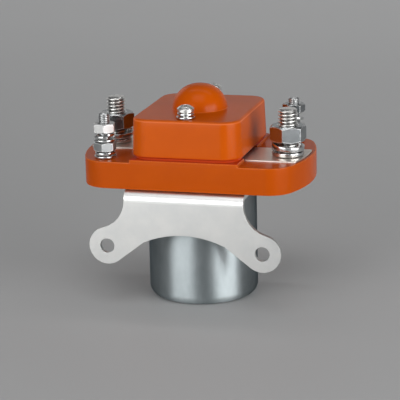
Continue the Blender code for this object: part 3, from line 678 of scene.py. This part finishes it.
def innerLook(colour, metallic, roughness):
    darker, lighter, spread = 0.82, 1.25, 0.06
    return {
        "metallic": metallic,
        "colour": colour,
        "cloudColour": tuple(darker * c for c in colour),
        "cloudScale": 180,
        "edgeColour": tuple(min(1, lighter * c) for c in colour),
        "edgeRadius": 0.2,
        "edgeAmount": 0.4,
        "roughness": (roughness - spread, roughness + spread),
        "grainScale": 700,
        "bumpScale": 1400,
        "bumpStrength": 0.08,
        "bumpDepth": 0.02,
    }


innerLooks = {
    "copper": innerLook((0.80, 0.36, 0.20), 1.0, 0.30),
    "contactSilver": innerLook((0.86, 0.85, 0.82), 1.0, 0.25),
    "softIron": innerLook((0.40, 0.40, 0.41), 1.0, 0.40),
    "brass": innerLook((0.74, 0.54, 0.24), 1.0, 0.30),
    "springSteel": innerLook((0.50, 0.50, 0.50), 1.0, 0.30),
    "stainless": innerLook((0.62, 0.61, 0.59), 1.0, 0.28),
    "whiteNylon": innerLook((0.80, 0.78, 0.72), 0.0, 0.50),
    "blackInsulation": innerLook((0.03, 0.03, 0.03), 0.0, 0.50),
    "enamelledWire": innerLook((0.55, 0.20, 0.07), 0.6, 0.35),
}
finishes = {name: makeFinish(name, look) for name, look in (finishLooks | innerLooks).items()}
print("materials made:", len(finishes))
makeStudio()
print("studio made")

# CAD nodes that keep their own shape: the first of these that a node's name starts with gives
# its finish; bevels in millimetres, angles in degrees

nodeFinishes = {
    "mounting_bracket": "whiteZinc",
    "base_moulding": "orangeBase",
    "terminal_bar": "tinnedCopper",
    "fixed_tip": "contactSilver",
    "moving_tip": "contactSilver",
    "contact_bridge": "copper",
    "push_rod": "stainless",
    "spring_retainer": "brass",
    "plunger_shim": "brass",
    "guide_sleeve": "brass",
    "rod_bush": "whiteNylon",
    "coil_bobbin": "whiteNylon",
    "plunger": "softIron",
    "fixed_core": "softIron",
    "yoke_plate": "softIron",
    "coil_winding": "enamelledWire",
    "coil_lead": "blackInsulation",
}
bevelWidths = {"mounting_bracket": 0.22, "base_moulding": 0.12, "terminal_bar": 0.2}
dressSet = {"bevel": 0.05, "segments": 2, "flatAngle": 0.3, "rimAngle": 38, "flatWeight": 80}


def dressNode(name, finish, bevel):
    # the loose triangles are welded, flat faces joined, edges rounded and the shading evened
    node = nodes[name]
    node.data.materials.clear()
    node.data.materials.append(finishes[finish])
    node.data.shade_smooth()
    weld = node.modifiers.new("weld", "WELD")
    weld.merge_threshold = mergeDistance
    join = node.modifiers.new("joinFlats", "DECIMATE")
    join.decimate_type = "DISSOLVE"
    join.angle_limit = math.radians(dressSet["flatAngle"])
    rim = node.modifiers.new("rims", "BEVEL")
    rim.width = bevel * mm
    rim.segments = dressSet["segments"]
    rim.limit_method = "ANGLE"
    rim.angle_limit = math.radians(dressSet["rimAngle"])
    even = node.modifiers.new("evenShading", "WEIGHTED_NORMAL")
    even.weight = dressSet["flatWeight"]


for nodeName in nodes:
    for start, finish in nodeFinishes.items():
        if nodeName.startswith(start):
            dressNode(nodeName, finish, bevelWidths.get(start, dressSet["bevel"]))
            break
print("CAD nodes dressed")

# Can, sizes in millimetres as in all that follows

canSet = {
    "radius": 22.34,
    "height": 46.3,
    "wall": 1.5,
    "corner": 3.6,
    "lip": 0.25,
    "innerStep": 1.0,
    "columns": 160,
    "cornerRows": 13,
    "sideRows": 12,
    "sharp": 40,
}


def makeCan():
    # half the outline of the cup, from the middle of its bottom up the outside and back down
    # the inside, carried round the axis
    look = canSet
    r, h, w, c = look["radius"], look["height"], look["wall"], look["corner"]
    lip, sideRows = look["lip"], look["sideRows"]
    fall = np.radians(np.linspace(-90, 0, look["cornerRows"]))
    outer = np.stack([r - c + c * np.cos(fall), c + c * np.sin(fall)], -1)
    inner = np.stack([r - c + (c - w) * np.cos(fall), c + (c - w) * np.sin(fall)], -1)[::-1]
    side = np.stack([np.full(sideRows, r), np.linspace(c, h - lip, sideRows + 2)[1:-1]], -1)
    top = np.array([[r, h - lip], [r - lip, h], [r - w, h], [r - w, c + look["innerStep"]]])
    profile = np.concatenate([[[0, 0]], outer, side, top, inner, [[0, w]]])
    grid = turned(profile, look["columns"])
    pieceFromGrids(
        "drawnCan", [(grid, 0.0, True, False)], finishes["blueZinc"],
        "housing", ["can"], look["sharp"],
    )


makeCan()
print("can made")

# Cover

coverSet = {
    "length": 44.0,
    "width": 52.5,
    "bottom": 62.2,
    "top": 77.35,
    "corner": 7.3,
    "draft": 0.6,
    "edge": 1.1,
    "wall": 2.5,
    "domeRadius": 11.2,
    "domeHeight": 11.05,
    "domeSink": 1.15,
    "domePower": 0.92,
    "domeFillet": 0.4,
    "domeWall": 2.0,
    "foot": 0.3,
    "footShare": 0.3,
    "sideStart": 1.0,
    "smallestCorner": 0.5,
    "columns": 288,
    "sideRows": 8,
    "edgeRows": 8,
    "topRows": 12,
    "filletRows": 7,
    "domeRows": 30,
    "innerRows": 8,
    "sharp": 50,
}


def outlineRadius(angle, halfX, halfY, corner):
    # distance from the middle of a rounded rectangle to its outline along each angle: to the
    # nearer straight side, or to the corner circle where that side's point is past its fillet
    c, s = np.abs(np.cos(angle)), np.abs(np.sin(angle))
    straight = np.minimum(halfX / np.maximum(c, tiny), halfY / np.maximum(s, tiny))
    cx, cy = halfX - corner, halfY - corner
    along = c * cx + s * cy
    curved = along + np.sqrt(np.maximum(along**2 - cx**2 - cy**2 + corner**2, 0))
    past = (straight * c > cx) & (straight * s > cy)
    return np.where(past, curved, straight)


def makeCover():
    # rows from the foot up the drafted wall, over the rounded edge, in along the flat top, up
    # the fillet and the dome, then back down the inside
    look = coverSet
    bottom, top, edge, foot = look["bottom"], look["top"], look["edge"], look["foot"]
    angle = fullTurn(look["columns"])
    halfX, halfY = look["length"] / 2, look["width"] / 2

    def wallRow(inset, z):
        grow = look["draft"] * (top - z) / (top - bottom) - inset
        corner = max(look["corner"] + grow, look["smallestCorner"])
        return ring(outlineRadius(angle, halfX + grow, halfY + grow, corner), z, angle)

    softFoot = foot * look["footShare"]
    rows = [wallRow(foot, bottom), wallRow(softFoot, bottom + softFoot), wallRow(0, bottom + foot)]
    sideHeights = np.linspace(bottom + look["sideStart"], top - edge, look["sideRows"])
    rows += [wallRow(0, z) for z in sideHeights]
    for turn in np.radians(np.linspace(0, 90, look["edgeRows"]))[1:]:
        rows.append(wallRow(edge * (1 - np.cos(turn)), top - edge + edge * np.sin(turn)))
    rim = rows[-1][0]
    centre = top - look["domeSink"]
    power, fillet = look["domePower"], look["domeFillet"]

    # the dome is a little squarer than a sphere: its radius and height follow the cosine and
    # the sine raised to a power just under one
    def domeRow(turn):
        radius = look["domeRadius"] * np.cos(turn) ** power
        return ring(radius, centre + look["domeHeight"] * np.sin(turn) ** power, angle)

    filletZ = top + fillet
    meet = math.asin(((filletZ - centre) / look["domeHeight"]) ** (1 / power))
    filletR = domeRow(meet)[0][0] + fillet
    for share in np.linspace(0, 1, look["topRows"])[1:]:
        rows.append(ring((1 - share) * rim + share * filletR, top, angle))
    for turn in np.linspace(-math.pi / 2, -math.pi, look["filletRows"])[1:]:
        rows.append(ring(filletR + fillet * np.cos(turn), filletZ + fillet * np.sin(turn), angle))
    rows += [domeRow(turn) for turn in np.linspace(meet, math.pi / 2, look["domeRows"])[1:-1]]
    rows.append(ring(0, centre + look["domeHeight"], angle))
    inner = look["domeRadius"] - look["domeWall"]
    ceiling = top - look["wall"]
    low = math.asin(max((ceiling - centre) / inner, -1))
    for turn in np.linspace(math.pi / 2, low, look["innerRows"]):
        rows.append(ring(inner * np.cos(turn), centre + inner * np.sin(turn), angle))
    rows += [wallRow(look["wall"], ceiling), wallRow(look["wall"], bottom)]
    pieceFromGrids(
        "mouldedCover", [(gridFromRows(rows, angle), 0.0, True, True)],
        finishes["orangeMoulding"], "housing", ["cover"], look["sharp"],
    )


makeCover()
print("cover made")

# Fasteners: a thread's crest and flank are shares of half a pitch, and gap is the angle that
# a spring washer leaves open

threadSet = {"crest": 0.20, "flank": 0.75, "rowsPerTurn": 10, "overlap": 0.5}
nutSet = {"fillet": 0.4, "faceShare": 0.95, "boreSink": 0.35, "coneAngle": 30, "coneRows": 4}
washerSet = {"innerFillet": 0.08, "outerFillet": 0.2}
splitSet = {"innerFillet": 0.2, "outerFillet": 0.35, "gap": 8.0, "steps": 57}
sharpAngles = {"stud": 45, "nut": 20, "screw": 40, "washer": 32, "spring": 32}
ringColumns = 72


def threadedRod(centre, low, high, thread):
    # the radius falls from crest to root and back once per pitch of height, and the fall is
    # shifted by the angle so that the ridge climbs one pitch each turn; the end is a cone
    crest, depth, pitch, chamfer, columns = thread
    angle = fullTurn(columns)[None, :]
    count = int((high - low) / pitch * threadSet["rowsPerTurn"])
    height = np.linspace(low, high, count)[:, None]
    wave = np.abs(2 * np.mod(height / pitch - angle / (2 * np.pi), 1) - 1)
    groove = np.clip((wave - threadSet["crest"]) / threadSet["flank"], 0, 1)
    groove = groove * groove * (3 - 2 * groove)
    radius = crest - depth * groove
    cone = crest - np.maximum(height - (high - chamfer), 0)
    groove = np.where(cone < radius, 0, groove)
    radius = np.minimum(radius, cone)
    pole = 0 * angle
    radius = np.concatenate([pole, radius, pole])
    height = np.concatenate([[[low]], height, [[high]]])
    groove = np.concatenate([pole, groove, pole])
    return aroundAxis(radius, height, angle, centre), groove, True, False


def flankedSolid(centre, low, high, outline, bevel):
    # an upright solid whose radius at each angle is the outline's, with a bevel at both ends
    angle = fullTurn(ringColumns)
    side = outline(angle)
    rows = (0 * side, side - bevel, side, side, side - bevel, 0 * side)
    levels = (low, low, low + bevel, high - bevel, high, high)
    grid = aroundAxis(np.stack(rows), np.array(levels)[:, None], angle[None, :], centre)
    return grid, 0.0, True, False


def hexagonAngles():
    # columns close together at the six corners and wide apart on the flats
    beside = np.array([0.8, 1.6, 2.4, 3.6, 7, 14, 22])
    corner = np.concatenate([[-30], -beside[::-1], [0], beside])
    return np.radians((np.arange(0, 360, 60)[:, None] + corner[None, :]).reshape(-1))


def hexagon(angle, flats):
    # distance from the middle to a hexagon with a corner at 0: to the flat, or within a
    # corner's rounding to the circle that rounds it
    fillet, sixth = nutSet["fillet"], math.pi / 6
    offset = np.mod(angle + sixth, 2 * sixth) - sixth
    flat = flats / 2 / np.cos(sixth - np.abs(offset))
    reach = (flats / 2 - fillet) / math.cos(sixth)
    inside = np.maximum(fillet**2 - (reach * np.sin(offset)) ** 2, 0)
    curved = reach * np.cos(offset) + np.sqrt(inside)
    rounding = fillet * math.sin(sixth) / (flats / 2)
    return np.where(np.abs(offset) < rounding, curved, flat)


def hexNut(centre, low, flats, height, bore, turn):
    # profile rows up the bore, over the top face, down a cone until it meets the hexagon, down
    # the flat and back under; the cone makes the curved edge of each flat
    angle = hexagonAngles()
    side = hexagon(angle, flats)
    face, sink = nutSet["faceShare"] * flats / 2, nutSet["boreSink"]
    slope = math.tan(math.radians(nutSet["coneAngle"]))
    shares = np.linspace(0, 1, nutSet["coneRows"] + 1)[1:]
    rows = [ring(bore, low + sink, side), ring(bore, low + height - sink, side)]
    rows += [ring(bore + sink, low + height, side), ring(face, low + height, side)]
    rows += [(face + s * (side - face), low + height - s * (side - face) * slope) for s in shares]
    rows += [(face + s * (side - face), low + s * (side - face) * slope) for s in shares[::-1]]
    rows += [ring(face, low, side), ring(bore + sink, low, side)]
    return gridFromRows(rows, angle + math.radians(turn), centre), 0.0, True, True


def washerSection(inner, outer, thickness, innerFillet, outerFillet):
    return roundedProfile([
        (inner, 0, innerFillet),
        (outer, 0, outerFillet),
        (outer, thickness, outerFillet),
        (inner, thickness, innerFillet),
    ])


def splitWasher(centre, low, inner, outer, thickness, rise, ease, turn):
    # a rounded rectangle carried clockwise round the axis from turn on, closed at both cut
    # ends: it climbs by the share of its way round to the power of ease, so that a high ease
    # makes only its last end spring up
    section = washerSection(
        inner, outer, thickness, splitSet["innerFillet"], splitSet["outerFillet"]
    )
    middle = section.mean(0)
    share = np.concatenate([[0], np.linspace(0, 1, splitSet["steps"]), [1]])[:, None]
    keep = np.ones_like(share)
    keep[[0, -1]] = 0
    angle = np.radians(turn) - share * np.radians(360 - splitSet["gap"])
    radius = middle[0] + keep * (section[None, :, 0] - middle[0])
    level = low + share**ease * rise + middle[1] + keep * (section[None, :, 1] - middle[1])
    return aroundAxis(radius, level, angle, centre), 0.0, True, False


def flatWasher(centre, low, inner, outer, thickness):
    profile = washerSection(
        inner, outer, thickness, washerSet["innerFillet"], washerSet["outerFillet"]
    )
    return turned(profile, ringColumns, centre, low), 0.0, True, True


def addFastener(kind, name, grids, finish, stands):
    pieceFromGrids(
        name, grids, finishes[finish], "housing", [stands], sharpAngles[kind]
    )


# a thread is (crest radius, depth, pitch, end chamfer, columns), a washer (inner radius, outer
# radius, thickness), a spring washer the same, with its rise and ease where they are the same
# on both sides, and a nut (size across flats, height, bore radius)

mainSet = {
    "right": {"centre": (37.7, -5.8), "nutTurn": 25.4, "splitTurn": 197.0},
    "left": {"centre": (-37.7, 5.8), "nutTurn": 12.0, "splitTurn": 3.0},
    "headLow": 49.2,
    "headHigh": 53.2,
    "headRadius": 6.0,
    "headFlats": 10.0,
    "headBevel": 0.3,
    "studTop": 79.4,
    "thread": (3.88, 0.80, 1.40, 0.6, 48),
    "washerLow": 60.8,
    "washer": (4.2, 6.4, 1.5),
    "springLow": 62.6,
    "spring": (4.2, 6.55, 2.0, 1.5, 6.0),
    "nutLow": 66.4,
    "nut": (13.0, 6.5, 3.92),
}


def makeMainTerminal(side):
    look, own = mainSet, mainSet[side]
    centre = own["centre"]

    def flattened(angle):
        # a circle with two flats: the nearer of the circle and the flats along each angle
        flat = look["headFlats"] / 2 / np.maximum(np.abs(np.cos(angle)), tiny)
        return np.minimum(look["headRadius"], flat)

    rodLow = look["headHigh"] - threadSet["overlap"]
    stud = threadedRod(centre, rodLow, look["studTop"], look["thread"])
    head = flankedSolid(centre, look["headLow"], look["headHigh"], flattened, look["headBevel"])
    washer = flatWasher(centre, look["washerLow"], *look["washer"])
    spring = splitWasher(centre, look["springLow"], *look["spring"], own["splitTurn"])
    nut = hexNut(centre, look["nutLow"], *look["nut"], own["nutTurn"])
    for kind, name, grids, finish, stands in (
        ("stud", "mainStud", [stud, head], "studZinc", "main_stud"),
        ("washer", "mainFlatWasher", [washer], "washerZinc", "main_flat_washer"),
        ("spring", "mainSpringWasher", [spring], "washerZinc", "main_spring_washer"),
        ("nut", "mainNut", [nut], "brightZinc", "main_nut"),
    ):
        addFastener(kind, f"{name}{side.title()}", grids, finish, f"{stands}_{side}")


coilSet = {
    "left": {
        "centre": (-34.2, -20.4),
        "lowerTurn": 33.0,
        "upperTurn": 44.0,
        "splitTurn": 300.0,
        "rise": 1.0,
        "lowerFinish": "paleZinc",
        "upperFinish": "satinZinc",
    },
    "right": {
        "centre": (34.2, 20.4),
        "lowerTurn": 12.0,
        "upperTurn": 16.0,
        "splitTurn": 150.0,
        "rise": 2.6,
        "lowerFinish": "brightZinc",
        "upperFinish": "brightZinc",
    },
    "headLow": 49.2,
    "headHigh": 52.7,
    "headFlats": 8.0,
    "headBevel": 0.25,
    "studTop": 78.5,
    "thread": (2.38, 0.32, 0.8, 0.6, 36),
    "first": 60.3,
    "gap": 0.3,
    "washer": (2.7, 4.35, 0.8),
    "spring": (2.7, 4.05, 1.2),
    "baseRise": 0.1,
    "ease": 1.2,
    "nut": (8.2, 3.7, 2.42),
}


def makeCoilTerminal(side):
    # the stud, and on it from the base up a stack of washers and nuts, each set a gap above
    # the one before
    look, own = coilSet, coilSet[side]
    centre, end = own["centre"], side.title()

    def sixSided(angle):
        return hexagon(angle, look["headFlats"])

    rodLow = look["headHigh"] - threadSet["overlap"]
    stud = threadedRod(centre, rodLow, look["studTop"], look["thread"])
    head = flankedSolid(centre, look["headLow"], look["headHigh"], sixSided, look["headBevel"])
    addFastener("stud", f"coilStud{end}", [stud, head], "fineStudZinc", f"coil_stud_{side}")
    level = look["first"]
    lower, upper = own["lowerFinish"], own["upperFinish"]
    for kind, name, value, finish, stands in (
        ("washer", "coilBaseWasher", 0, "washerZinc", "coil_base_washer"),
        ("spring", "coilBaseSpringWasher", look["baseRise"], "washerZinc",
         "coil_base_spring_washer"),
        ("nut", "coilLowerNut", own["lowerTurn"], lower, "coil_lower_nut"),
        ("washer", "coilFlatWasher", 0, "washerZinc", "coil_flat_washer"),
        ("spring", "coilSpringWasher", own["rise"], "washerZinc", "coil_spring_washer"),
        ("nut", "coilUpperNut", own["upperTurn"], upper, "coil_upper_nut"),
    ):
        if kind == "washer":
            grid, tall = flatWasher(centre, level, *look["washer"]), look["washer"][2]
        elif kind == "spring":
            shape = (*look["spring"], value, look["ease"], own["splitTurn"])
            grid, tall = splitWasher(centre, level, *shape), look["spring"][2] + value
        else:
            grid, tall = hexNut(centre, level, *look["nut"], value), look["nut"][1]
        addFastener(kind, f"{name}{end}", [grid], finish, f"{stands}_{side}")
        level += tall + look["gap"]


screwSet = {
    "front": {"y": -20.8, "recessTurn": 20.0, "splitTurn": 150.0},
    "rear": {"y": 20.8, "recessTurn": 65.0, "splitTurn": 30.0},
    "washerLow": 77.65,
    "washer": (2.05, 3.75, 0.7),
    "springLow": 78.65,
    "spring": (2.05, 3.4, 0.9, 0.3, 1.0),
    "headLow": 80.15,
    "headHigh": 82.85,
    "headRadius": 3.4,
    "headFillet": 0.25,
    "crownFillet": 0.15,
    "crownPower": 2.6,
    "crownRows": 34,
    "rowPower": 0.8,
    "sideHeight": 1.5,
    "shank": 1.75,
    "tip": 46.9,
    "recessWidth": 1.0,
    "recessLength": 3.9,
    "recessDepth": 1.3,
    "recessWall": 0.22,
    "recessShade": 0.8,
    "columns": 96,
}


def makeCoverScrew(side):
    look, own = screwSet, screwSet[side]
    centre, angle = (0.0, own["y"]), fullTurn(look["columns"])
    r, tip, headLow, sideHeight = (
        look[key] for key in ("headRadius", "tip", "headLow", "sideHeight")
    )
    # the crown falls with a power of the distance from the middle, and a cross whose arms have
    # soft walls is taken out of it
    share = np.linspace(1, 0, look["crownRows"])[:, None] ** look["rowPower"]
    distance = share * (r - look["crownFillet"])
    crownHeight = look["headHigh"] - headLow - sideHeight
    crown = look["headHigh"] - crownHeight * share ** look["crownPower"]
    local = angle - math.radians(own["recessTurn"])
    across, along = np.abs(distance * np.cos(local)), np.abs(distance * np.sin(local))
    narrow, wide = np.minimum(across, along), np.maximum(across, along)
    wall = look["recessWall"]
    within = np.clip((look["recessWidth"] / 2 - narrow) / wall + 0.5, 0, 1)
    arms = within * np.clip((look["recessLength"] / 2 - wide) / (2 * wall), 0, 1)
    top = crown - look["recessDepth"] * arms
    rows = [
        ring(0, tip, angle),
        ring(look["shank"], tip, angle),
        ring(look["shank"], headLow, angle),
        ring(r - look["headFillet"], headLow, angle),
        ring(r, headLow + look["headFillet"], angle),
        ring(r, headLow + sideHeight - look["crownFillet"], angle),
    ]
    # the recess arms carry groove values, so the finish darkens them as painted shade
    groove = np.concatenate([np.zeros((len(rows), len(angle))), arms * look["recessShade"]])
    rows += zip(distance + 0 * angle, top)
    screw = (gridFromRows(rows, angle, centre), groove, True, False)
    washer = flatWasher(centre, look["washerLow"], *look["washer"])
    spring = splitWasher(centre, look["springLow"], *look["spring"], own["splitTurn"])
    for kind, name, grid, finish, stands in (
        ("screw", "coverScrew", screw, "studZinc", "cover_screw"),
        ("washer", "coverFlatWasher", washer, "washerZinc", "cover_flat_washer"),
        ("spring", "coverSpringWasher", spring, "washerZinc", "cover_spring_washer"),
    ):
        addFastener(kind, f"{name}{side.title()}", [grid], finish, f"{stands}_{side}")


# Springs, wound over the height of the CAD springs they replace; in the contactor they shorten as
# the plunger is pulled down

springSet = {
    "return_spring": {
        "piece": "returnSpring",
        "body": "housing",
        "radius": 2.9,
        "wire": 0.8,
        "turns": 9.0,
        "travel": 2.9,
        "heldAbove": False,
    },
    "contact_spring": {
        "piece": "contactSpring",
        "body": "plunger_assembly",
        "radius": 4.4,
        "wire": 0.9,
        "turns": 3.5,
        "travel": 1.0,
        "heldAbove": True,
    },
}
springRowsPerTurn, wireColumns, springSharp = 32, 14, 50


def makeSpring(node):
    # round wire wound round the axis: its middle climbs evenly with the angle, its section is a
    # circle through the axis, and the circle shrinks to a point at each end
    look = springSet[node]
    low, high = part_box(node)[0][2] / mm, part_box(node)[1][2] / mm
    wire, steps = look["wire"], round(look["turns"] * springRowsPerTurn)
    share = np.concatenate([[0], np.linspace(0, 1, steps), [1]])[:, None]
    thick = np.concatenate([[0], np.full(steps, wire / 2), [0]])[:, None]
    around = fullTurn(wireColumns)[None, :]
    radius = look["radius"] + thick * np.cos(around)
    height = low + wire / 2 + (high - low - wire) * share + thick * np.sin(around)
    grid = aroundAxis(radius, height, 2 * np.pi * look["turns"] * share)
    spring = pieceFromGrids(
        look["piece"], [(grid, 0.0, True, False)], finishes["springSteel"],
        look["body"], [node], springSharp,
    )
    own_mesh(spring)


for node in springSet:
    makeSpring(node)
for side in ("right", "left"):
    makeMainTerminal(side)
    makeCoilTerminal(side)
for side in ("front", "rear"):
    makeCoverScrew(side)
print("fasteners made")
